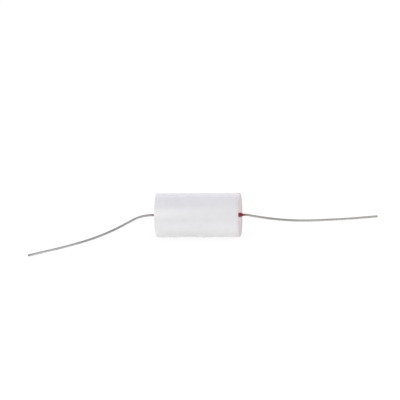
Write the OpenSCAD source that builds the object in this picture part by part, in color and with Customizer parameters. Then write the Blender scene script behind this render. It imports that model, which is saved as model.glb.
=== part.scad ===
// Axial film capacitor, wrap and fill type, lying on its side.
// The body's axis is X, with the right lead at +X and +Z up.
// The origin is the middle of the cylindrical body, on its axis.

/* [Body] */
// Diameter over the wound tape
body_d = 17; // [14:0.5:28]
// Length of the tape wrap, which is the length of the body
body_len = 32; // [20:0.5:60]
// Thickness of all the turns of tape together
tape_wall = 0.36; // [0.2:0.02:0.8]
// Height of the step at the tape's tail, which is one turn of tape
tape_step = 0.06; // [0.02:0.01:0.12]
// Place of the tail's edge, measured from the top towards the front
tail_angle = 13; // [-60:1:60]

/* [Winding] */
// Depth of the cup at each end, from the tape's edge to the wound film
cup_depth = 2.5; // [2.3:0.1:6]
// Outer diameter of the plastic tube in the middle of the roll
core_d = 4; // [3:0.1:6]
// Bore of that tube
core_bore = 2.4; // [1:0.1:2.6]
// Thickness of the zinc sprayed on each face of the roll
spray_t = 0.4; // [0.2:0.05:0.8]

/* [Resin] */
// Depth of the resin's face below the tape's edge
face_recess = 0.12; // [0.05:0.01:0.4]
// Radius of the hollow where the resin climbs the tape
edge_fillet = 0.4; // [0.4:0.05:0.8]
// How far the resin climbs the lead
cone_h = 1.2; // [0.6:0.1:1.7]
// Radius of the hollow where the resin climbs the lead
cone_fillet = 1.7; // [1.7:0.1:3]
// Thickness of the resin's lip at the top of that climb
cone_lip = 0.06; // [0.02:0.01:0.15]

/* [Lead wire] */
// Diameter of the tinned wire
lead_d = 0.9; // [0.5:0.05:1]
// Length of the foot that lies on the sprayed contact, from the body's axis
foot_len = 5; // [4:0.1:6]
// Radius of the bend between the foot and the lead, along the wire's middle
foot_bend = 0.8; // [0.6:0.05:1]

/* [Solder] */
// Thickness of the solder between the wire and the sprayed contact
solder_bed = 0.15; // [0.05:0.01:0.2]
// Width of the drop of solder on the sprayed contact
solder_w = 3; // [2:0.1:4]
// Height of the drop
solder_h = 1.3; // [1:0.05:1.5]
// Distance of the drop's middle from the body's axis
solder_place = 4.2; // [3.5:0.1:5]

/* [Left lead] */
// Straight stretch from the tape's edge to the first bend
left_root = 1.7; // [1.6:0.1:6]
// Radius of the first bend
left_kink_r = 13; // [3:0.5:30]
// Angle of the first bend
left_kink = 36; // [30:1:45]
// Straight stretch after the first bend
left_run = 3.6; // [0.5:0.1:10]
// Radius of the long bend back
left_sweep_r = 65; // [30:1:150]
// Angle of the long bend back
left_sweep = 15; // [5:1:16]
// Turn about the wire from the plane of the first bend to that of the others
left_turn = 180; // [150:5:210]
// Straight stretch after the long bend
left_mid = 0.5; // [0.1:0.1:10]
// Radius of the last bend
left_ease_r = 134; // [50:1:200]
// Angle of the last bend
left_ease = 4.5; // [1:0.5:8]
// Straight stretch at the end of the wire
left_end = 10.5; // [8:0.5:20]

/* [Right lead] */
// Straight stretch from the tape's edge to the first bend
right_root = 2.1; // [1.6:0.1:6]
// Radius of the first bend
right_kink_r = 4; // [3:0.5:30]
// Angle of the first bend
right_kink = 13; // [12:1:25]
// Straight stretch after the first bend
right_run = 0.2; // [0.1:0.1:10]
// Radius of the long bend back
right_sweep_r = 76; // [60:1:150]
// Angle of the long bend back
right_sweep = 20; // [12:1:22]
// Turn about the wire from the plane of the first bend to that of the others
right_turn = 100; // [80:5:120]
// Straight stretch after the long bend
right_mid = 9; // [0.5:0.5:12]
// Radius of the last bend
right_ease_r = 140; // [80:5:200]
// Angle of the last bend
right_ease = 3; // [1:0.5:5]
// Straight stretch at the end of the wire
right_end = 8.5; // [8:0.5:20]

/* [Fits] */
// How much thicker the wire is where it is bent
bend_swell = 0.002; // [0.001:0.001:0.004]
// Length by which each straight stretch reaches into the bends beside it
bend_plug = 0.02; // [0.01:0.01:0.03]
// Gap left between pieces that are bonded or wound onto each other
bond_gap = 0.01; // [0.005:0.005:0.03]

/* [Hidden] */

body_fn = 180;
wire_fn = 48;
bend_fn = 360;
// How far a cutting shape runs past what it cuts
cut_over = 1;
body_r = body_d / 2;
lead_r = lead_d / 2;
core_r = core_d / 2;
half_len = body_len / 2;

// The bore of the wrap, measured where the tape is thinnest
wrap_bore_r = body_r - tape_step - tape_wall;
winding_r = wrap_bore_r - bond_gap;
// The last turn is drawn as two half circles whose centres lie apart by half a step
tail_shift = tape_step / 4;
// The body lies on the wrap's underside, about half a turn from the tail
floor_r = body_r - tape_step / 2;

// Places along the axis, from the middle of the body outwards
film_x = half_len - cup_depth;
spray_x = film_x + spray_t;
face_x = half_len - face_recess;
foot_x = spray_x + solder_bed + lead_r;
neck_x = foot_x + foot_bend;

// Width of a hollow in the resin: a circle of radius r touches the face and is cut at height h
function rise_width(r, h) = sqrt(h * (2 * r - h));
edge_w = rise_width(edge_fillet, face_recess);
cone_w = rise_width(cone_fillet, cone_h);
wire_hole_r = lead_r + bond_gap;

// The drop of solder is a cap of a ball
solder_ball_r = (pow(solder_w / 2, 2) + pow(solder_h, 2)) / (2 * solder_h);

// Each run of wire: straight length, then bend radius, bend angle and the plane's turn
left_run_rows = [
    [half_len + left_root - neck_x, left_kink_r, left_kink, 0],
    [left_run, left_sweep_r, left_sweep, left_turn],
    [left_mid, left_ease_r, left_ease, left_turn],
    [left_end],
];
right_run_rows = [
    [half_len + right_root - neck_x, right_kink_r, right_kink, 0],
    [right_run, right_sweep_r, right_sweep, right_turn],
    [right_mid, right_ease_r, right_ease, right_turn],
    [right_end],
];

// Turns about X and Z, as matrices
function turn_x(a) = [[1, 0, 0], [0, cos(a), -sin(a)], [0, sin(a), cos(a)]];
function turn_z(a) = [[cos(a), -sin(a), 0], [sin(a), cos(a), 0], [0, 0, 1]];

// Where a bend that starts along X ends
function bend_end(r, a) = [r * sin(a), r * (1 - cos(a)), 0];

// Where the end of a run of wire lies, seen from its start
function run_end(rows, i = 0) =
    [rows[i][0], 0, 0] + (i == len(rows) - 1 ? [0, 0, 0] : after_bend(rows, i));
function after_bend(rows, i) =
    turn_x(rows[i][3]) * (bend_end(rows[i][1], rows[i][2])
        + turn_z(rows[i][2]) * turn_x(-rows[i][3]) * run_end(rows, i + 1));

// Turn of a whole lead about the body's axis that brings its tip down to the floor,
// or as near to it as the lead's bends reach
function floor_turn(tip) =
    -asin(min(1, (floor_r - lead_r) / norm([tip.y, tip.z]))) - atan2(tip.z, tip.y);
left_floor_turn = floor_turn(run_end(left_run_rows));
right_floor_turn = floor_turn(run_end(right_run_rows));

// Stands a shape drawn about Z along the body's axis, with its own X and Y as Y and Z
module along_axis() {
    rotate([90, 0, 90]) children();
}

// The left end is the right one turned half round the vertical
module at_left() {
    rotate([0, 0, 180]) children();
}

// A round disc or tube on the body's axis, from x0 to x1
module axis_tube(outer, bore, x0, x1) {
    along_axis() translate([0, 0, x0]) difference() {
        cylinder(h = x1 - x0, r = outer, $fn = body_fn);
        translate([0, 0, -cut_over])
            cylinder(h = x1 - x0 + 2 * cut_over, r = bore, $fn = body_fn);
    }
}

// Half of the last turn of tape, on the side where Y is positive
module half_turn(r, shift) {
    intersection() {
        translate([shift, 0]) circle(r = r, $fn = body_fn);
        translate([-body_d, 0]) square([2 * body_d, body_d]);
    }
}

// Section of the tape wrap: its radius falls by one step over one turn
module wrap_section() {
    difference() {
        union() {
            half_turn(body_r - tail_shift, tail_shift);
            mirror([0, 1]) half_turn(body_r - 3 * tail_shift, -tail_shift);
        }
        circle(r = wrap_bore_r, $fn = body_fn);
    }
}

// A bend of wire that starts along X and turns towards Y
module wire_bend(bend_r, angle, wire_r) {
    translate([0, bend_r, 0]) rotate([0, 0, -90])
        rotate_extrude(angle = angle, $fn = bend_fn)
            translate([bend_r, 0]) circle(r = wire_r + bend_swell, $fn = wire_fn);
}

// A straight stretch of wire along X, with a plug into the bend before it and the one after it
module wire_straight(length, wire_r, plug_before, plug_after) {
    translate([-plug_before, 0, 0]) along_axis()
        cylinder(h = plug_before + length + plug_after, r = wire_r, $fn = wire_fn);
}

// A run of wire along X, one straight stretch and bend after another
module wire_run(rows, i = 0) {
    wire_straight(rows[i][0], lead_r, bend_plug, i < len(rows) - 1 ? bend_plug : 0);
    if (i < len(rows) - 1) {
        translate([rows[i][0], 0, 0]) rotate([rows[i][3], 0, 0]) {
            wire_bend(rows[i][1], rows[i][2], lead_r);
            translate(bend_end(rows[i][1], rows[i][2])) rotate([0, 0, rows[i][2]])
                rotate([-rows[i][3], 0, 0]) wire_run(rows, i + 1);
        }
    }
}

// The foot of a lead and the bend that brings it onto the axis, for a wire of radius r
module foot(r) {
    translate([foot_x, -foot_len, 0]) rotate([0, 0, 90])
        wire_straight(foot_len - foot_bend, r, r - lead_r, bend_plug);
    translate([foot_x, -foot_bend, 0]) rotate([0, 0, 90]) mirror([0, 1, 0])
        wire_bend(foot_bend, 90, r);
}

// One lead, from the end of its foot to the tip
module lead(rows, turn) {
    color("silver") rotate([turn, 0, 0]) {
        foot(lead_r);
        translate([neck_x, 0, 0]) wire_run(rows);
    }
}

// The drop of solder before the wire is cut out of it, grown by a gap
module solder_drop(gap) {
    intersection() {
        translate([spray_x + solder_h - solder_ball_r, -solder_place, 0])
            along_axis() sphere(r = solder_ball_r + gap, $fn = body_fn);
        translate([spray_x + bond_gap, -body_r, -body_r]) cube(body_d);
    }
}

// The joint between a lead's foot and the sprayed contact
module solder(turn) {
    color("darkgray") rotate([turn, 0, 0]) difference() {
        solder_drop(0);
        foot(lead_r + bond_gap);
    }
}

// Profile of the resin, with the distance from the axis as X and the place along it as Y
module fill_profile() {
    edge_r = winding_r - edge_w;
    cone_r = wire_hole_r + cone_lip + cone_w;
    difference() {
        translate([0, spray_x + bond_gap]) square([winding_r, half_len - spray_x - bond_gap]);
        translate([0, face_x]) square([edge_r, face_recess + cut_over]);
        translate([edge_r, face_x + edge_fillet]) circle(r = edge_fillet, $fn = body_fn);
    }
    difference() {
        translate([0, foot_x]) square([cone_r, face_x + cone_h - foot_x]);
        translate([cone_r, face_x + cone_fillet]) circle(r = cone_fillet, $fn = body_fn);
    }
}

// The resin that fills one end, cast round the foot and the solder
module end_fill(turn) {
    color("firebrick") difference() {
        along_axis() rotate_extrude($fn = body_fn) fill_profile();
        rotate([turn, 0, 0]) {
            foot(wire_hole_r);
            translate([neck_x, 0, 0]) wire_straight(half_len, wire_hole_r, bend_plug, 0);
        }
        rotate([turn, 0, 0]) solder_drop(bond_gap);
    }
}

module tape_wrap() {
    color("white") along_axis() translate([0, 0, -half_len])
        linear_extrude(height = body_len) rotate(90 + tail_angle) wrap_section();
}

module film_winding() {
    color("lightsteelblue") axis_tube(winding_r, core_r + bond_gap, -film_x, film_x);
}

module winding_core() {
    color("gainsboro") axis_tube(core_r, core_bore / 2, -film_x, film_x);
}

module end_spray() {
    color("gray") axis_tube(winding_r, core_r + bond_gap, film_x, spray_x);
}

module left_end_spray() {
    at_left() end_spray();
}

module right_end_spray() {
    end_spray();
}

module left_lead() {
    at_left() lead(left_run_rows, left_floor_turn);
}

module right_lead() {
    lead(right_run_rows, right_floor_turn);
}

module left_solder() {
    at_left() solder(left_floor_turn);
}

module right_solder() {
    solder(right_floor_turn);
}

module left_end_fill() {
    at_left() end_fill(left_floor_turn);
}

module right_end_fill() {
    end_fill(right_floor_turn);
}

tape_wrap();
film_winding();
winding_core();
left_end_spray();
right_end_spray();
left_lead();
right_lead();
left_solder();
right_solder();
left_end_fill();
right_end_fill();
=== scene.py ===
"""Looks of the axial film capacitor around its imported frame.

The tape wrap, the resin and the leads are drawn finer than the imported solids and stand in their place, the
inner pieces get materials, and all of it stands in a plain white studio.
"""
import math

import bmesh
import bpy
from mathutils import Matrix, Vector, noise


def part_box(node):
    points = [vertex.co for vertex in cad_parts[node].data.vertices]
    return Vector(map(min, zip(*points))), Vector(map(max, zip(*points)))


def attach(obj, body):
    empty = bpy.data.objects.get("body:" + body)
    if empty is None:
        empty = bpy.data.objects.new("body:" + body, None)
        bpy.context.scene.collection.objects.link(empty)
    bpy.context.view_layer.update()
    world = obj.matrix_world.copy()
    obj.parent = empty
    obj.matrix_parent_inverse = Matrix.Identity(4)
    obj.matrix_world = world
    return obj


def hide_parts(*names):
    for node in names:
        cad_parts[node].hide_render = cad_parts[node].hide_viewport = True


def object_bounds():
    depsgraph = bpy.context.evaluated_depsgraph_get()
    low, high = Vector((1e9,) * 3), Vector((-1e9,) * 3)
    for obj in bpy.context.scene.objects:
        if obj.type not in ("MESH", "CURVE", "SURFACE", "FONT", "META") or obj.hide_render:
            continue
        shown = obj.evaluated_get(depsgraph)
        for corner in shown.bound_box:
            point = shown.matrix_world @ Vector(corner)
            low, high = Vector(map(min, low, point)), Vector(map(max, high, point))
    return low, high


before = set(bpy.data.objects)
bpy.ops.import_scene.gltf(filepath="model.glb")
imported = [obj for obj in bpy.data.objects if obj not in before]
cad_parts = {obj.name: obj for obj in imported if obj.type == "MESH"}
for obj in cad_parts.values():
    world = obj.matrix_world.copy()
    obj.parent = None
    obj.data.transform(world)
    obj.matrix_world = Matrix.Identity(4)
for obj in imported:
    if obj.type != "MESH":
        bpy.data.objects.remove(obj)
cad_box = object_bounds()

MM = 0.001


# ---------------------------------------------------------------- sizes
# Places that the frame gives, in millimetres (the floor's in metres)
HALF_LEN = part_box("tape_wrap")[1].x / MM
FILM_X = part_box("film_winding")[1].x / MM
WINDING_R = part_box("film_winding")[1].y / MM
SPRAY_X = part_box("right_end_spray")[1].x / MM
FLOOR_Z = cad_box[0].z

# Driving values repeated from the part's source, in millimetres and degrees
BOND_GAP = 0.01
TAPE_WALL = 0.36
TAPE_STEP = 0.06
TAIL_ANGLE = 13
FACE_RECESS = 0.12
EDGE_FILLET = 0.4
CONE_H = 1.2
CONE_FILLET = 1.7
CONE_LIP = 0.06
WIRE_R = 0.45
FOOT_LEN = 5
FOOT_BEND = 0.8
SOLDER_BED = 0.15
SOLDER_W = 3
SOLDER_H = 1.3
SOLDER_PLACE = 4.2

BORE_R = WINDING_R + BOND_GAP
BODY_R = BORE_R + TAPE_WALL + TAPE_STEP
FACE_X = HALF_LEN - FACE_RECESS
FOOT_X = SPRAY_X + SOLDER_BED + WIRE_R
NECK_X = FOOT_X + FOOT_BEND
ROOM_R = WIRE_R + BOND_GAP
LIP_R = ROOM_R + CONE_LIP

# Each run of wire: straight length, then bend radius, bend angle and the plane's turn
LEFT_ROWS = (
    (HALF_LEN + 1.7 - NECK_X, 13, 36, 0),
    (3.6, 65, 15, 180),
    (0.5, 134, 4.5, 180),
    (10.5,),
)
RIGHT_ROWS = (
    (HALF_LEN + 2.1 - NECK_X, 4, 13, 0),
    (0.2, 76, 20, 100),
    (9, 140, 3, 100),
    (8.5,),
)

# Detail that the source leaves out, in millimetres
TAPE_TRIM = 0.003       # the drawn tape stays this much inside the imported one
WIRE_TRIM = 0.003       # and so does the drawn wire
CUT_LEN = 0.55          # length of the wedge that the cutters leave at a lead's tip
CUT_EDGE = 0.06         # length of wire beyond the cone that is tinted: smeared resin on the right, painted shade on the left
SMEAR_AND_SHADE_LEN = 1.4         # length of wire that a thin smear of resin tints beyond the cone
EDGE_BEVEL = 0.012      # bevel on each turn's edge
EDGE_GROOVE = 0.02      # depth of the line between two turns at the tape's edge
EDGE_WANDER = 0.03      # how unevenly the turns end
FILM_RIPPLE = 0.012     # depth of the waves in the tape over the wound film
FILM_FADE = 1.2         # length over which those waves die out at each end
RESIN_RIPPLE = 0.006    # height of the waves in the resin's face
CONE_W = 1.8            # width of the band that holds the resin's cone
RISE_W = 0.5            # width of the band in which the resin climbs the tape
ROOM_REACH = 1.4        # how far the wire's room in the resin reaches beyond the tape's edge

# The foot's rounding: distances from its end and how much thinner the wire is there
FOOT_ROUND = ((0, 0.05), (0.015, 0.015), (0.05, 0))
# How steeply the resin climbs the lead, as a power of the distance
CONE_SHARP = 6

# How finely the pieces are cut up
TAPE_SEGMENTS = 240     # round the tape
TAPE_STRIPS = 80        # along its outside
RESIN_SEGMENTS = 192    # round the resin
CONE_RINGS = 26         # over the resin's cone
FLAT_RINGS = 28         # over its flat face
RISE_RINGS = 14         # over its climb to the tape
WIRE_SIDES = 40
ROOM_SIDES = 48
WIRE_STEP = 0.8         # millimetres of wire between two rings at most
WIRE_TURN = 4           # degrees of bend between two rings at most
CUT_RINGS = 12          # over the wedge at a tip
SAME_PLACE = 1e-7       # vertices closer than this are one, in metres
NO_LENGTH = 1e-8        # edges shorter than this go, in metres


# ---------------------------------------------------------------- meshes
FLAT = "flat_place"


def new_piece(name, verts, faces, material, smooth_angle=35, flat_places=None):
    """A mesh piece from millimetre vertices, joined where they coincide, with its faces turned outwards.

    flat_places holds each vertex's place on the piece before it was bent or wound, for its material.
    """
    mesh = bpy.data.meshes.new(name)
    mesh.from_pydata([tuple(c * MM for c in v) for v in verts], [], faces)
    if flat_places:
        layer = mesh.attributes.new(FLAT, "FLOAT_VECTOR", "POINT")
        layer.data.foreach_set("vector", [c for place in flat_places for c in place])
    bm = bmesh.new()
    bm.from_mesh(mesh)
    bmesh.ops.remove_doubles(bm, verts=bm.verts, dist=SAME_PLACE)
    bmesh.ops.dissolve_degenerate(bm, edges=bm.edges, dist=NO_LENGTH)
    bmesh.ops.recalc_face_normals(bm, faces=bm.faces)
    bm.to_mesh(mesh)
    bm.free()
    mesh.shade_smooth()
    mesh.set_sharp_from_angle(angle=math.radians(smooth_angle))
    mesh.materials.append(material)
    return in_scene(name, mesh)


def in_scene(name, data):
    """A new object in the scene."""
    made = bpy.data.objects.new(name, data)
    bpy.context.scene.collection.objects.link(made)
    return made


def polar(x, r, angle):
    """The point at a place along the body's axis, a radius and an angle from +Y towards +Z."""
    return Vector((x, r * math.cos(angle), r * math.sin(angle)))


def grid_faces(columns, rows, closed_columns, closed_rows):
    """Quads of a grid whose vertices are listed column by column."""
    faces = []
    for c in range(columns if closed_columns else columns - 1):
        for r in range(rows if closed_rows else rows - 1):
            c2, r2 = (c + 1) % columns, (r + 1) % rows
            faces.append((c * rows + r, c2 * rows + r, c2 * rows + r2, c * rows + r2))
    return faces


# ---------------------------------------------------------------- the tape wrap
TAPE_TURNS = round((TAPE_WALL + TAPE_STEP) / TAPE_STEP)
TAIL_DIRECTION = math.radians(90 + TAIL_ANGLE)


def spiral_fall(a):
    """How far the last turn has sunk at an angle past its tail, as in the source's two half circles."""
    shift = TAPE_STEP / 4
    side, r = (1, BODY_R - shift) if a <= math.pi else (-1, BODY_R - 3 * shift)
    return BODY_R + TAPE_TRIM - (side * shift * math.cos(a) + math.sqrt(r * r - (shift * math.sin(a)) ** 2))


def turn_edge(unwound, end):
    """Where the tape's edge lies beyond the middle, by the angle unwound from the tape's start."""
    u = max(unwound, 0)
    slow = noise.noise(Vector((u * 0.35, 4.2 * end, 0.7)))
    quick = noise.noise(Vector((u * 1.9, 2.9, 3.3 * end)))
    return HALF_LEN - EDGE_WANDER * min(1, max(0, 0.5 + 0.6 * (slow + 0.4 * quick)))


def film_ripple(x, angle):
    """Depth of the soft waves that the wound film leaves in the tape's outside."""
    p = Vector((x * 0.11, 0.9 * math.cos(angle), 0.9 * math.sin(angle)))
    wave = 0.5 + 0.5 * noise.noise(p) + 0.12 * noise.noise(p * 4.1)
    fade = min(1, (HALF_LEN - abs(x)) / FILM_FADE)
    return FILM_RIPPLE * max(0, min(1, wave)) * max(0, fade)


def tape_edge(radii, a, end):
    """Points down the cut edge from outside to bore, each turn with its own end and a groove below it."""
    points = []
    for k in range(TAPE_TURNS, 0, -1):
        thick = radii[k] - radii[k - 1]
        reach = turn_edge(2 * math.pi * k - a, end)
        crown = reach - EDGE_GROOVE * (1 - min(1, 2 * thick / TAPE_STEP))
        bevel = min(EDGE_BEVEL, thick / 3)
        points.append((reach - EDGE_GROOVE, radii[k]))
        points.append((crown, radii[k] - bevel))
        points.append((crown, radii[k - 1] + bevel))
    points.append((turn_edge(-a, end) - EDGE_GROOVE, BORE_R))
    return points


def tape_column(a, outer_x):
    """One closed section of the tape at an angle past its tail: outside, right edge, bore, left edge."""
    angle = TAIL_DIRECTION + a
    fall = spiral_fall(a)
    radii = [max(BORE_R, BORE_R + TAPE_STEP * k - fall) for k in range(TAPE_TURNS + 1)]
    outside = [(x, radii[-1] - film_ripple(x, angle)) for x in outer_x]
    mouth = HALF_LEN - 0.3
    inside = [(x, BORE_R) for x in (mouth, FILM_X, FILM_X / 3, -FILM_X / 3, -FILM_X, -mouth)]
    left = [(-x, r) for x, r in reversed(tape_edge(radii, a, -1))]
    section = outside + tape_edge(radii, a, 1) + inside + left
    return [polar(x, r, angle) for x, r in section], [(x, BODY_R * a, r) for x, r in section]


def tape_piece(material):
    """The wound tape: one spiral whose tail leaves a step along the whole body."""
    reach = HALF_LEN - 0.15
    outer_x = [-reach + 2 * reach * i / TAPE_STRIPS for i in range(TAPE_STRIPS + 1)]
    verts, unwound = [], []
    for c in range(TAPE_SEGMENTS + 1):
        column, flat_column = tape_column(2 * math.pi * c / TAPE_SEGMENTS, outer_x)
        verts += column
        unwound += flat_column
    rows = len(verts) // (TAPE_SEGMENTS + 1)
    faces = grid_faces(TAPE_SEGMENTS + 1, rows, False, True)
    # The step at the tail, between the last column's outside and the first's
    outside, last = len(outer_x), TAPE_SEGMENTS * rows
    around = [rows - 1] + list(range(outside + 1))
    for r, r2 in zip(around, around[1:]):
        faces.append((r, r2, last + r2, last + r))
    faces.append((outside, outside + 1, outside + 2, last + outside))
    faces.append((rows - 1, last + rows - 1, rows - 3, rows - 2))
    return new_piece("tape_wrap_skin", verts, faces, material, flat_places=unwound)


# ---------------------------------------------------------------- wire paths
def turn_x(a):
    """A turn about X, in degrees."""
    return Matrix.Rotation(math.radians(a), 4, "X")


def turn_z(a):
    """A turn about Z, in degrees."""
    return Matrix.Rotation(math.radians(a), 4, "Z")


def along_x(place, distance):
    """A place moved along its own X."""
    return place @ Matrix.Translation((distance, 0, 0))


def straight_steps(place, length):
    """Places along a straight stretch, each a matrix whose X is the wire's direction."""
    count = max(1, math.ceil(length / WIRE_STEP))
    return [along_x(place, length * i / count) for i in range(1, count + 1)]


def bend_steps(place, radius, angle, plane):
    """Places round a bend that starts along X and turns towards Y, in a plane turned about X."""
    count = max(2, math.ceil(math.radians(angle) * radius / WIRE_STEP), math.ceil(angle / WIRE_TURN))
    steps = []
    for i in range(1, count + 1):
        a = angle * i / count
        t = math.radians(a)
        out = Matrix.Translation((radius * math.sin(t), radius * (1 - math.cos(t)), 0))
        steps.append(place @ turn_x(plane) @ out @ turn_z(a) @ turn_x(-plane))
    return steps


def run_steps(place, rows):
    """Places along a whole run of wire."""
    steps = []
    for row in rows:
        steps += straight_steps(steps[-1] if steps else place, row[0])
        if len(row) > 1:
            steps += bend_steps(steps[-1], *row[1:])
    return steps


def floor_turn(rows):
    """Turn of a lead about the body's axis that lays its tip on the floor."""
    tip = run_steps(Matrix.Identity(4), rows)[-1].translation
    floor_r = BODY_R - TAPE_STEP / 2
    drop = min(1, (floor_r - WIRE_R) / math.hypot(tip.y, tip.z))
    return -math.degrees(math.asin(drop)) - math.degrees(math.atan2(tip.z, tip.y))


def lead_places(rows):
    """Places along one lead at the right end, from its foot on the sprayed zinc to its tip."""
    turned = turn_x(floor_turn(rows))
    start = turned @ Matrix.Translation((FOOT_X, -FOOT_LEN, 0)) @ turn_z(90)
    foot = [start] + straight_steps(start, FOOT_LEN - FOOT_BEND)
    foot += bend_steps(foot[-1], FOOT_BEND, 90, 180)
    return foot + run_steps(along_x(turned, NECK_X), rows)


def tube(rings, sides):
    """Vertices, flat places and faces of a closed tube; each ring is (place, half width, half height)."""
    circle = [(math.cos(t), math.sin(t)) for t in (2 * math.pi * i / sides for i in range(sides))]
    verts = [p @ Vector((0, w * c, h * s)) for p, w, h in rings for c, s in circle]
    along = [0]
    for (p, *_), (q, *_) in zip(rings, rings[1:]):
        along.append(along[-1] + (q.translation - p.translation).length)
    flat_places = [(a - along[-1], w * c, h * s) for a, (_, w, h) in zip(along, rings) for c, s in circle]
    faces = grid_faces(len(rings), sides, False, True)
    faces.append(tuple(range(sides))[::-1])
    faces.append(tuple(range(len(verts) - sides, len(verts))))
    return verts, flat_places, faces


def lead_piece(name, rows, flip, material, cut_turn):
    """A lead with a slightly rounded foot, and a tip pinched off by cutters at a turn about the wire."""
    radius = WIRE_R - WIRE_TRIM
    places = [flip @ p for p in lead_places(rows)]
    foot, tip = places[0], places[-1] @ turn_x(cut_turn)
    rings = [(along_x(foot, d), radius - thinner, radius - thinner) for d, thinner in FOOT_ROUND]
    rings += [(p, radius, radius) for p in places[1:-1]]
    for i in range(CUT_RINGS + 1):
        t = i / CUT_RINGS
        # The wedge narrows slowly at first and quickly at its end
        pinch = 0.35 * t + 0.65 * (1 - math.sqrt(1 - t))
        height = radius + (CUT_EDGE / 2 - radius) * pinch
        width = radius * (1 - 0.12 * t * t)
        rings.append((along_x(tip, -CUT_LEN * (1 - t)), width, height))
    verts, flat_places, faces = tube(rings, WIRE_SIDES)
    return new_piece(name, verts, faces, material, flat_places=flat_places)


# ---------------------------------------------------------------- the resin
def resin_height(r):
    """Height of the resin over its flat face at a radius: cone, flat, then the climb to the tape."""
    edge_w = math.sqrt(FACE_RECESS * (2 * EDGE_FILLET - FACE_RECESS))
    cone_w = math.sqrt(CONE_H * (2 * CONE_FILLET - CONE_H))
    edge_r = WINDING_R - edge_w
    cone_r = LIP_R + cone_w
    if r <= cone_r - cone_w:
        return CONE_H
    if r < cone_r:
        return CONE_H * ((cone_r - r) / cone_w) ** CONE_SHARP
    if r <= edge_r:
        return 0
    return EDGE_FILLET - math.sqrt(max(0, EDGE_FILLET ** 2 - (r - edge_r) ** 2))


def resin_radii():
    """Radii of the rings in the resin's face, closest together at the cone and at the climb to the tape."""
    radii = [LIP_R * 0.5, LIP_R * 0.85, LIP_R]
    radii += [LIP_R + CONE_W * (i / CONE_RINGS) ** 1.6 for i in range(1, CONE_RINGS + 1)]
    flat = radii[-1]
    radii += [flat + (WINDING_R - RISE_W - flat) * i / FLAT_RINGS for i in range(1, FLAT_RINGS + 1)]
    radii += [WINDING_R - RISE_W * (1 - i / RISE_RINGS) for i in range(1, RISE_RINGS + 1)]
    return radii


def resin_piece(name, rows, end, flip, material):
    """The resin cast in one end, with its cone, its climb to the tape and room for wire and solder."""
    back = SPRAY_X + BOND_GAP
    smooth_angle = 50
    radii = resin_radii()
    verts = []
    for c in range(RESIN_SEGMENTS):
        angle = 2 * math.pi * c / RESIN_SEGMENTS
        column = [polar(back, r, angle) for r in (0, WINDING_R * 0.5, WINDING_R)]
        column += [polar(back + (FACE_X - back) * i / 3, WINDING_R, angle) for i in (1, 2)]
        # The resin climbs the tape by up to a quarter less in some places
        lower = noise.noise(Vector((math.cos(angle), math.sin(angle), 8.1 * end)))
        climb = 1 - 0.25 * (0.5 + 0.5 * lower)
        for r in reversed(radii):
            p = polar(0, r, angle)
            wave = noise.noise(Vector((p.y * 0.16, p.z * 0.16, 5.3 * end)))
            height = resin_height(r) * (climb if r > WINDING_R - RISE_W else 1)
            column.append(polar(FACE_X + RESIN_RIPPLE * wave + height, r, angle))
        column.append(polar(FACE_X + CONE_H, 0, angle))
        verts += column
    faces = grid_faces(RESIN_SEGMENTS, len(verts) // RESIN_SEGMENTS, True, False)
    piece = new_piece(name, [flip @ v for v in verts], faces, material, smooth_angle)
    cutters = (wire_room(name, rows, flip, material), solder_room(name, rows, flip, material))
    for cutter in cutters:
        cut = piece.modifiers.new("room", "BOOLEAN")
        cut.operation = "DIFFERENCE"
        cut.solver = "EXACT"
        cut.object = cutter
    apply_modifiers(piece)
    piece.data.set_sharp_from_angle(angle=math.radians(smooth_angle))
    for cutter in cutters:
        bpy.data.objects.remove(cutter)
    return piece


def wire_room(name, rows, flip, material):
    """The room in the resin for the wire, from the foot's end to beyond the cone's top."""
    foot, *others = lead_places(rows)
    inside = [along_x(foot, -BOND_GAP)] + [p for p in others if p.translation.x < HALF_LEN + ROOM_REACH]
    verts, _, faces = tube([(flip @ p, ROOM_R, ROOM_R) for p in inside], ROOM_SIDES)
    return new_piece(name + "_wire_room", verts, faces, material)


def solder_room(name, rows, flip, material):
    """The room in the resin for the drop of solder: a whole ball, as the drop is the cap of one."""
    ball_r = (SOLDER_W ** 2 / 4 + SOLDER_H ** 2) / (2 * SOLDER_H)
    centre = flip @ turn_x(floor_turn(rows)) @ Vector((SPRAY_X + SOLDER_H - ball_r, -SOLDER_PLACE, 0))
    bm = bmesh.new()
    bmesh.ops.create_icosphere(bm, subdivisions=4, radius=(ball_r + BOND_GAP) * MM,
                               matrix=Matrix.Translation(centre * MM))
    mesh = bpy.data.meshes.new(name + "_solder_room")
    bm.to_mesh(mesh)
    bm.free()
    mesh.materials.append(material)
    return in_scene(mesh.name, mesh)


def apply_modifiers(piece):
    """Puts a piece's modifiers into its mesh."""
    bpy.context.view_layer.update()
    evaluated = piece.evaluated_get(bpy.context.evaluated_depsgraph_get())
    mesh = bpy.data.meshes.new_from_object(evaluated)
    piece.modifiers.clear()
    piece.data = mesh


# ---------------------------------------------------------------- materials
def shader(name, colour, roughness, metallic=0.0, ior=1.5):
    """A new material and its node tree, with the values that are the same all over set on the shader."""
    material = bpy.data.materials.new(name)
    material.use_nodes = True
    bsdf = material.node_tree.nodes["Principled BSDF"]
    bsdf.inputs["Base Color"].default_value = (*colour, 1)
    bsdf.inputs["Roughness"].default_value = roughness
    bsdf.inputs["Metallic"].default_value = metallic
    bsdf.inputs["IOR"].default_value = ior
    return material, material.node_tree, bsdf


def add(tree, kind, inputs=None, **settings):
    """A new node with its settings, and with values or links on its inputs."""
    made = tree.nodes.new("ShaderNode" + kind)
    for key, value in settings.items():
        setattr(made, key, value)
    for key, value in (inputs or {}).items():
        if isinstance(value, bpy.types.NodeSocket):
            tree.links.new(value, made.inputs[key])
        else:
            made.inputs[key].default_value = value
    return made


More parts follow.
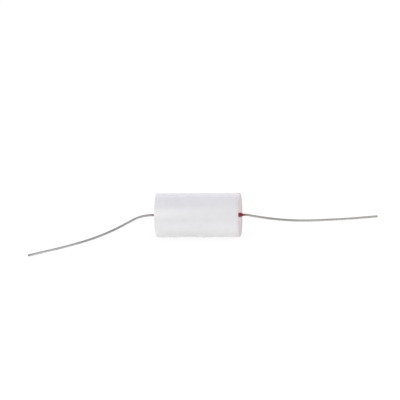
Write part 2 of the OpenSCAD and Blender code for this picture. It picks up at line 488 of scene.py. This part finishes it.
def place_mm(tree):
    """The object's own coordinates in millimetres."""
    coordinates = add(tree, "TexCoord").outputs["Object"]
    return add(tree, "Mapping", {"Vector": coordinates, "Scale": (1 / MM,) * 3}).outputs["Vector"]


def flat_place(tree, stretch=(1, 1, 1)):
    """The place on the piece before it was bent or wound, in millimetres, stretched along its axes."""
    place = add(tree, "Attribute", attribute_name=FLAT).outputs["Vector"]
    return add(tree, "Mapping", {"Vector": place, "Scale": stretch}).outputs["Vector"]


def split(tree, vector):
    """The parts of a vector, as outputs named X, Y and Z."""
    return add(tree, "SeparateXYZ", {"Vector": vector}).outputs


def grain(tree, vector, scale, detail=3.0):
    """Fine noise between 0 and 1; scale is in waves per millimetre."""
    return add(tree, "TexNoise", {"Vector": vector, "Scale": scale, "Detail": detail}).outputs["Fac"]


def ranged(tree, value, low, high, to_low=0.0, to_high=1.0):
    """A value's range mapped onto another, smoothly."""
    return add(tree, "MapRange", {"Value": value, "From Min": low, "From Max": high, "To Min": to_low,
                                  "To Max": to_high}, interpolation_type="SMOOTHSTEP").outputs["Result"]


def between(tree, factor, low, high):
    """The value that lies between two others by a factor."""
    return add(tree, "MapRange", {"Value": factor, "To Min": low, "To Max": high}).outputs["Result"]


def blended(tree, factor, a, b, blend_type="MIX"):
    """Two colours mixed by a factor."""
    mix = add(tree, "Mix", data_type="RGBA", blend_type=blend_type)
    for index, value in ((0, factor), (6, a), (7, b)):
        if isinstance(value, bpy.types.NodeSocket):
            tree.links.new(value, mix.inputs[index])
        else:
            mix.inputs[index].default_value = value if index == 0 else (*value, 1)
    return mix.outputs[2]


def maths(tree, operation, a, b=0.0):
    """One step of arithmetic."""
    return add(tree, "Math", {0: a, 1: b}, operation=operation).outputs[0]


def product(tree, *values):
    """Several values multiplied."""
    first, *others = values
    for value in others:
        first = maths(tree, "MULTIPLY", first, value)
    return first


def around_axis(tree, parts):
    """Distance from the body's axis, from the parts of a place."""
    across = add(tree, "CombineXYZ", {"Y": parts["Y"], "Z": parts["Z"]}).outputs["Vector"]
    return add(tree, "VectorMath", {0: across}, operation="LENGTH").outputs["Value"]


def bumped(tree, bsdf, height, distance):
    """Relief of a real depth, in millimetres, on a shader."""
    bump = add(tree, "Bump", {"Height": height, "Distance": distance * MM, "Strength": 1.0})
    tree.links.new(bump.outputs["Normal"], bsdf.inputs["Normal"])


def tape_material():
    """White polyester tape: glossy, mottled, scuffed and dusty, with the resin showing at its right end."""
    material, tree, bsdf = shader("glossy_white_tape", (0.93, 0.924, 0.931), 0.12, ior=1.64)
    # A little light spreads inside the tape
    bsdf.inputs["Subsurface Weight"].default_value = 0.8
    bsdf.inputs["Subsurface Radius"].default_value = (1, 1, 1)
    bsdf.inputs["Subsurface Scale"].default_value = 1.0 * MM
    place = place_mm(tree)
    parts = split(tree, place)
    mottled = ranged(tree, grain(tree, place, 0.35, 4), 0.3, 0.7)
    colour = blended(tree, mottled, (0.907, 0.903, 0.908), (0.932, 0.928, 0.933))
    # The red resin shows faintly through the tape's right end
    right = ranged(tree, parts["X"], HALF_LEN - 1.5, HALF_LEN - 0.3, 0, 0.46)
    colour = blended(tree, right, colour, (0.80, 0.65, 0.67))
    # There the outer turns are greyer at the edge: scuffed, and painted shade that is strongest underneath
    edge = product(tree, ranged(tree, parts["X"], HALF_LEN - 0.25, HALF_LEN - 0.05),
                   ranged(tree, parts["Z"], -4, 3, 0.95, 0.6),
                   ranged(tree, around_axis(tree, parts), BORE_R + 0.1, BORE_R + 0.3))
    colour = blended(tree, edge, colour, (0.46, 0.44, 0.455))
    # A darker line along the tail's edge: painted shade in the step there, and dust caught under it
    angle = maths(tree, "ARCTAN2", parts["Z"], parts["Y"])
    tail = maths(tree, "ABSOLUTE", maths(tree, "SUBTRACT", angle, TAIL_DIRECTION))
    colour = blended(tree, ranged(tree, tail, 0.0, 0.02, 0.8, 0), colour, (0.52, 0.51, 0.53))
    # Fine scuffs from handling, in patches, and a few specks of dust
    scuffs = product(tree, ranged(tree, grain(tree, flat_place(tree, (0.5, 0.06, 1)), 9, 2), 0.66, 0.74),
                     ranged(tree, grain(tree, place, 0.12, 2), 0.45, 0.6))
    colour = blended(tree, product(tree, scuffs, 0.25), colour, (0.78, 0.77, 0.78))
    specks = ranged(tree, grain(tree, place, 3, 1), 0.80, 0.84, 0, 0.6)
    colour = blended(tree, specks, colour, (0.62, 0.60, 0.58))
    tree.links.new(colour, bsdf.inputs["Base Color"])
    rough = ranged(tree, grain(tree, flat_place(tree, (1, 0.2, 1)), 2.2, 4), 0.25, 0.75, 0.10, 0.15)
    rough = maths(tree, "ADD", rough, product(tree, scuffs, 0.2))
    tree.links.new(rough, bsdf.inputs["Roughness"])
    bumped(tree, bsdf, grain(tree, flat_place(tree, (0.25, 1, 1)), 1.4, 3), 0.0015)
    return material


def resin_material():
    """Deep red epoxy, glossy, with cloudy patches and specks, paler where it is thin on tape and lead."""
    material, tree, bsdf = shader("glossy_red_epoxy", (0.24, 0.012, 0.024), 0.06, ior=1.52)
    place = place_mm(tree)
    parts = split(tree, place)
    cloudy = ranged(tree, grain(tree, place, 0.5, 4), 0.3, 0.7)
    colour = blended(tree, cloudy, (0.21, 0.010, 0.021), (0.27, 0.014, 0.027))
    specks = ranged(tree, grain(tree, place, 6, 2), 0.70, 0.78)
    colour = blended(tree, specks, colour, (0.40, 0.08, 0.09))
    # The cone, and the thin lip at its top
    along = maths(tree, "ABSOLUTE", parts["X"])
    cone = ranged(tree, along, FACE_X + 0.1, FACE_X + 0.7)
    colour = blended(tree, cone, colour, (0.27, 0.020, 0.040))
    lip = ranged(tree, along, FACE_X + CONE_H - 0.25, FACE_X + CONE_H, 0, 0.6)
    colour = blended(tree, lip, colour, (0.55, 0.25, 0.25))
    # The thin rim against the tape
    rim = ranged(tree, around_axis(tree, parts), WINDING_R - 0.3, WINDING_R - 0.03, 0, 0.85)
    colour = blended(tree, rim, colour, (0.80, 0.70, 0.72))
    tree.links.new(colour, bsdf.inputs["Base Color"])
    tree.links.new(ranged(tree, grain(tree, place, 1.1, 3), 0.3, 0.7, 0.04, 0.09), bsdf.inputs["Roughness"])
    bumped(tree, bsdf, grain(tree, place, 0.9, 2), 0.003)
    return material


def wire_material(name, tint, smear_and_shade_colour, darker_from, darker_to):
    """Dull tinned wire with draw marks, nicks, a dark cut and one darker stretch, measured from the tip."""
    material, tree, bsdf = shader(name, (0.60, 0.60, 0.58), 0.55, 0.5)
    along = split(tree, flat_place(tree))["X"]
    drawn = grain(tree, flat_place(tree, (0.05, 1, 1)), 8, 4)
    mottled = ranged(tree, grain(tree, flat_place(tree, (0.5, 1, 1)), 0.6, 3), 0.3, 0.7)
    colour = blended(tree, mottled, (0.585, 0.58, 0.57), (0.665, 0.66, 0.65))
    colour = blended(tree, ranged(tree, drawn, 0.4, 0.65, 0, 0.6), colour, (0.47, 0.465, 0.45))
    nicks = ranged(tree, grain(tree, flat_place(tree, (1, 0.7, 0.7)), 2.2, 2), 0.70, 0.76)
    colour = blended(tree, product(tree, nicks, 0.7), colour, (0.30, 0.29, 0.28))
    # One stretch is darker, between two distances from the tip
    fade = 4
    darker_stretch = product(tree, ranged(tree, along, -darker_from - fade, -darker_from + fade),
                   ranged(tree, along, -darker_to - fade, -darker_to + fade, 1, 0), 0.7)
    colour = blended(tree, darker_stretch, colour, (0.43, 0.425, 0.41))
    # The cutters' wedge at the tip is darkened: partly the bare cut, partly painted shade
    cut = ranged(tree, along, -CUT_LEN, 0.1 - CUT_LEN)
    colour = blended(tree, cut, colour, (0.13, 0.125, 0.12))
    colour = blended(tree, 1.0, colour, tint, "MULTIPLY")
    # Where the wire leaves its end: resin smeared on the right wire, painted shade on the left one
    out = maths(tree, "ABSOLUTE", split(tree, place_mm(tree))["X"])
    smear_and_shade = ranged(tree, out, FACE_X + CONE_H, FACE_X + CONE_H + SMEAR_AND_SHADE_LEN, 0.7, 0)
    colour = blended(tree, smear_and_shade, colour, smear_and_shade_colour)
    tree.links.new(colour, bsdf.inputs["Base Color"])
    tree.links.new(ranged(tree, drawn, 0.35, 0.65, 0.42, 0.66), bsdf.inputs["Roughness"])
    bumped(tree, bsdf, maths(tree, "SUBTRACT", drawn, product(tree, nicks, 0.8)), 0.012)
    return material


def metal_material(name, dark, light, rough_low, rough_high, scale, depth):
    """A metal with mottled tone and fine relief."""
    material, tree, bsdf = shader(name, light, rough_low, 1.0)
    place = place_mm(tree)
    mottled = ranged(tree, grain(tree, place, scale, 4), 0.3, 0.7)
    tree.links.new(blended(tree, mottled, dark, light), bsdf.inputs["Base Color"])
    fine = grain(tree, place, scale * 3, 4)
    tree.links.new(ranged(tree, fine, 0.3, 0.7, rough_low, rough_high), bsdf.inputs["Roughness"])
    bumped(tree, bsdf, fine, depth)
    return material


def plastic_material(name, dark, light, rough_low, rough_high, scale, depth):
    """A plastic with a slight grain."""
    material, tree, bsdf = shader(name, light, rough_low)
    place = place_mm(tree)
    tree.links.new(blended(tree, grain(tree, place, scale, 4), dark, light), bsdf.inputs["Base Color"])
    fine = grain(tree, place, scale * 4, 3)
    tree.links.new(ranged(tree, fine, 0.3, 0.7, rough_low, rough_high), bsdf.inputs["Roughness"])
    bumped(tree, bsdf, fine, depth)
    return material


# ---------------------------------------------------------------- studio
COOL = (0.952, 0.944, 1.0)      # tint of the light from above and behind
WARM = (1.0, 0.997, 0.957)      # tint of the light from the floor and low in front
ROOM_EDGE = (-0.075, -0.037)    # Y, in metres, over which gloss loses sight of the floor's white in front
# The arc from the front (0 degrees) over the top (90) to the back (180): where gloss sees the room's front
# change to its ceiling, and the ceiling to the white behind
FRONT_TO_OVER = (56, 72)
OVER_TO_BACK = (118, 130)


def seen_directly(tree):
    """1 for rays from the camera, a gloss or a clear piece, and 0 for those that only carry light."""
    path = add(tree, "LightPath").outputs
    seen = maths(tree, "MAXIMUM", path["Is Camera Ray"], path["Is Glossy Ray"])
    return maths(tree, "MAXIMUM", seen, path["Is Transmission Ray"])


def make_world(light, front, over, behind):
    """Even light from all round, white to the camera.

    Gloss sees a dim room in front and over the object, and a bright one behind it.
    """
    world = bpy.data.worlds.new("studio")
    world.use_nodes = True
    tree = world.node_tree
    way = split(tree, add(tree, "TexCoord").outputs["Generated"])
    arc = maths(tree, "ARCTAN2", way["Z"], product(tree, way["Y"], -1.0))
    room = between(tree, ranged(tree, arc, *map(math.radians, FRONT_TO_OVER)), front, over)
    room = between(tree, ranged(tree, arc, *map(math.radians, OVER_TO_BACK)), room, behind)
    path = add(tree, "LightPath").outputs
    gloss = maths(tree, "MAXIMUM", path["Is Glossy Ray"], path["Is Transmission Ray"])
    level = between(tree, path["Is Camera Ray"], between(tree, gloss, light, room), 1.0)
    background = tree.nodes["Background"]
    # What comes from above is faintly cooler, except to the camera
    unseen = maths(tree, "SUBTRACT", 1.0, path["Is Camera Ray"])
    cool = product(tree, unseen, ranged(tree, way["Z"], -0.1, 0.6))
    tree.links.new(blended(tree, cool, (1, 1, 1), COOL), background.inputs["Color"])
    tree.links.new(level, background.inputs["Strength"])
    bpy.context.scene.world = world


def make_floor(bounce, seen_bounce, glow):
    """A plain white floor that keeps the object's shadow.

    It throws a part of the light, its bounce, back at the object. Where it is seen, directly or in a gloss,
    it glows, and a smaller bounce brings it to white outside the shadow.
    """
    material = bpy.data.materials.new("studio_floor")
    material.use_nodes = True
    tree = material.node_tree
    tree.nodes.clear()
    out = add(tree, "OutputMaterial")
    seen = seen_directly(tree)
    colour = blended(tree, seen, tuple(bounce * c for c in WARM), (seen_bounce,) * 3)
    matt = add(tree, "BsdfDiffuse", {"Color": colour})
    # The gloss of the object sees the white only as far as a dark room begins in front
    forward = split(tree, add(tree, "TexCoord").outputs["Object"])["Y"]
    white = maths(tree, "MAXIMUM", add(tree, "LightPath").outputs["Is Camera Ray"],
                  ranged(tree, forward, *ROOM_EDGE))
    lit = add(tree, "Emission", {"Strength": product(tree, seen, glow, white)})
    both = add(tree, "AddShader", {0: matt.outputs[0], 1: lit.outputs[0]})
    tree.links.new(both.outputs[0], out.inputs["Surface"])
    half = 3.0
    mesh = bpy.data.meshes.new("floor")
    corners = ((-half, -half, 0), (half, -half, 0), (half, half, 0), (-half, half, 0))
    mesh.from_pydata(corners, [], [(0, 1, 2, 3)])
    mesh.materials.append(material)
    floor = in_scene("floor", mesh)
    floor.location.z = FLOOR_Z


def soft_light(name, place, aim, width, height, radiance, colour=(1, 1, 1)):
    """A rectangular soft light with a given radiance, facing a point."""
    data = bpy.data.lights.new(name, "AREA")
    data.shape = "RECTANGLE"
    data.size, data.size_y = width, height
    data.energy = radiance * math.pi * width * height
    data.color = colour
    light = in_scene(name, data)
    light.location = place
    light.rotation_euler = (Vector(aim) - Vector(place)).to_track_quat("-Z", "Y").to_euler()
    return light


def upright_light(name, azimuths, elevations, distance, radiance, lean):
    """A soft light between two azimuths left of the front and two elevations, turned in its own plane."""
    middle, half = math.radians(sum(azimuths) / 2), math.radians((azimuths[1] - azimuths[0]) / 2)
    bottom, top = (distance / math.cos(half) * math.tan(math.radians(e)) for e in elevations)
    z = (top + bottom) / 2
    place = (-distance * math.sin(middle), -distance * math.cos(middle), z)
    light = soft_light(name, place, (0, 0, z), 2 * distance * math.tan(half), top - bottom, radiance)
    light.rotation_euler.rotate_axis("Z", math.radians(lean))


def make_camera():
    """The camera: above and in front of the body, a little to its right, with a slight roll."""
    elevation, azimuth, distance = math.radians(27), math.radians(7.594), 0.7
    roll, aim_right, aim_up, lens = math.radians(-3.62), 0.000903, 0.005657, 165.37
    back = Vector((math.sin(azimuth) * math.cos(elevation), -math.cos(azimuth) * math.cos(elevation),
                   math.sin(elevation)))
    centre = back * distance

    def axes(forward):
        """The camera's right and up for a direction of view, before the roll."""
        right = forward.cross(Vector((0, 0, 1))).normalized()
        return right, right.cross(forward)

    right, up = axes(-back)
    forward = (right * aim_right + up * aim_up - centre).normalized()
    right, up = axes(forward)
    turned_right = right * math.cos(roll) + up * math.sin(roll)
    turned_up = up * math.cos(roll) - right * math.sin(roll)
    data = bpy.data.cameras.new("camera")
    data.lens, data.sensor_width = lens, 36
    data.clip_start, data.clip_end = 0.01, 20
    camera = in_scene("camera", data)
    turn = Matrix((turned_right, turned_up, -forward)).transposed().to_4x4()
    camera.matrix_world = Matrix.Translation(centre) @ turn
    bpy.context.scene.camera = camera


# ---------------------------------------------------------------- the object
def give(piece, slot, *nodes):
    """Rides a piece on the body, in place of the CAD nodes named."""
    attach(piece, "root")
    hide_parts(*nodes)


white_tape = tape_material()
red_resin = resin_material()
# The left wire's dark grey by the body is painted shade, the right wire's red is smeared resin
left_tin = wire_material("dull_tinned_wire", tint=(1, 0.998, 1), smear_and_shade_colour=(0.28, 0.27, 0.27),
                         darker_from=38, darker_to=18)
right_tin = wire_material("dull_tinned_wire_too", tint=(1, 1, 0.95), smear_and_shade_colour=(0.42, 0.10, 0.13),
                          darker_from=46, darker_to=32)
joint_solder = metal_material("grey_solder", dark=(0.50, 0.50, 0.50), light=(0.66, 0.66, 0.65),
                              rough_low=0.2, rough_high=0.35, scale=1.0, depth=0.01)
zinc = metal_material("rough_sprayed_zinc", dark=(0.28, 0.28, 0.29), light=(0.45, 0.45, 0.46),
                      rough_low=0.6, rough_high=0.85, scale=3.0, depth=0.05)
film = plastic_material("wound_film", dark=(0.55, 0.57, 0.60), light=(0.68, 0.70, 0.73),
                        rough_low=0.2, rough_high=0.35, scale=1.5, depth=0.01)
core = plastic_material("core_tube", dark=(0.62, 0.61, 0.57), light=(0.70, 0.69, 0.65),
                        rough_low=0.45, rough_high=0.6, scale=0.8, depth=0.01)

# The left end is the right one turned half round
right_way = Matrix.Identity(4)
left_way = turn_z(180)

give(tape_piece(white_tape), "tape", "tape_wrap")
give(lead_piece("right_lead_wire", RIGHT_ROWS, right_way, right_tin, 35), "tinned_wire", "right_lead")
give(lead_piece("left_lead_wire", LEFT_ROWS, left_way, left_tin, 20), "tinned_wire", "left_lead")
give(resin_piece("right_resin_cast", RIGHT_ROWS, 1, right_way, red_resin), "resin", "right_end_fill")
give(resin_piece("left_resin_cast", LEFT_ROWS, -1, left_way, red_resin), "resin", "left_end_fill")

for node_name, material in (("film_winding", film), ("winding_core", core), ("left_end_spray", zinc),
                            ("right_end_spray", zinc), ("left_solder", joint_solder),
                            ("right_solder", joint_solder)):
    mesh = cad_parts[node_name].data
    mesh.materials.clear()
    mesh.materials.append(material)

make_camera()
make_floor(bounce=0.97, seen_bounce=0.2, glow=0.85)
make_world(light=0.89, front=0.2, over=0.1, behind=0.92)
upright_light("key_softbox", azimuths=(9.5, 22), elevations=(12, 58), distance=0.7, radiance=1.55,
              lean=2.5)
low_fill = soft_light("low_fill", place=(0, -1, 0.1), aim=(0, 0, 0.05), width=2.0, height=0.2,
                      radiance=0.9, colour=WARM)
back_fill = soft_light("back_fill", place=(0, 1.2, 0.7), aim=(0, 0, 0), width=1.6, height=1.2,
                       radiance=0.7, colour=COOL)
for light in (low_fill, back_fill):
    light.visible_glossy = False

bpy.context.scene.view_settings.view_transform = "Standard"
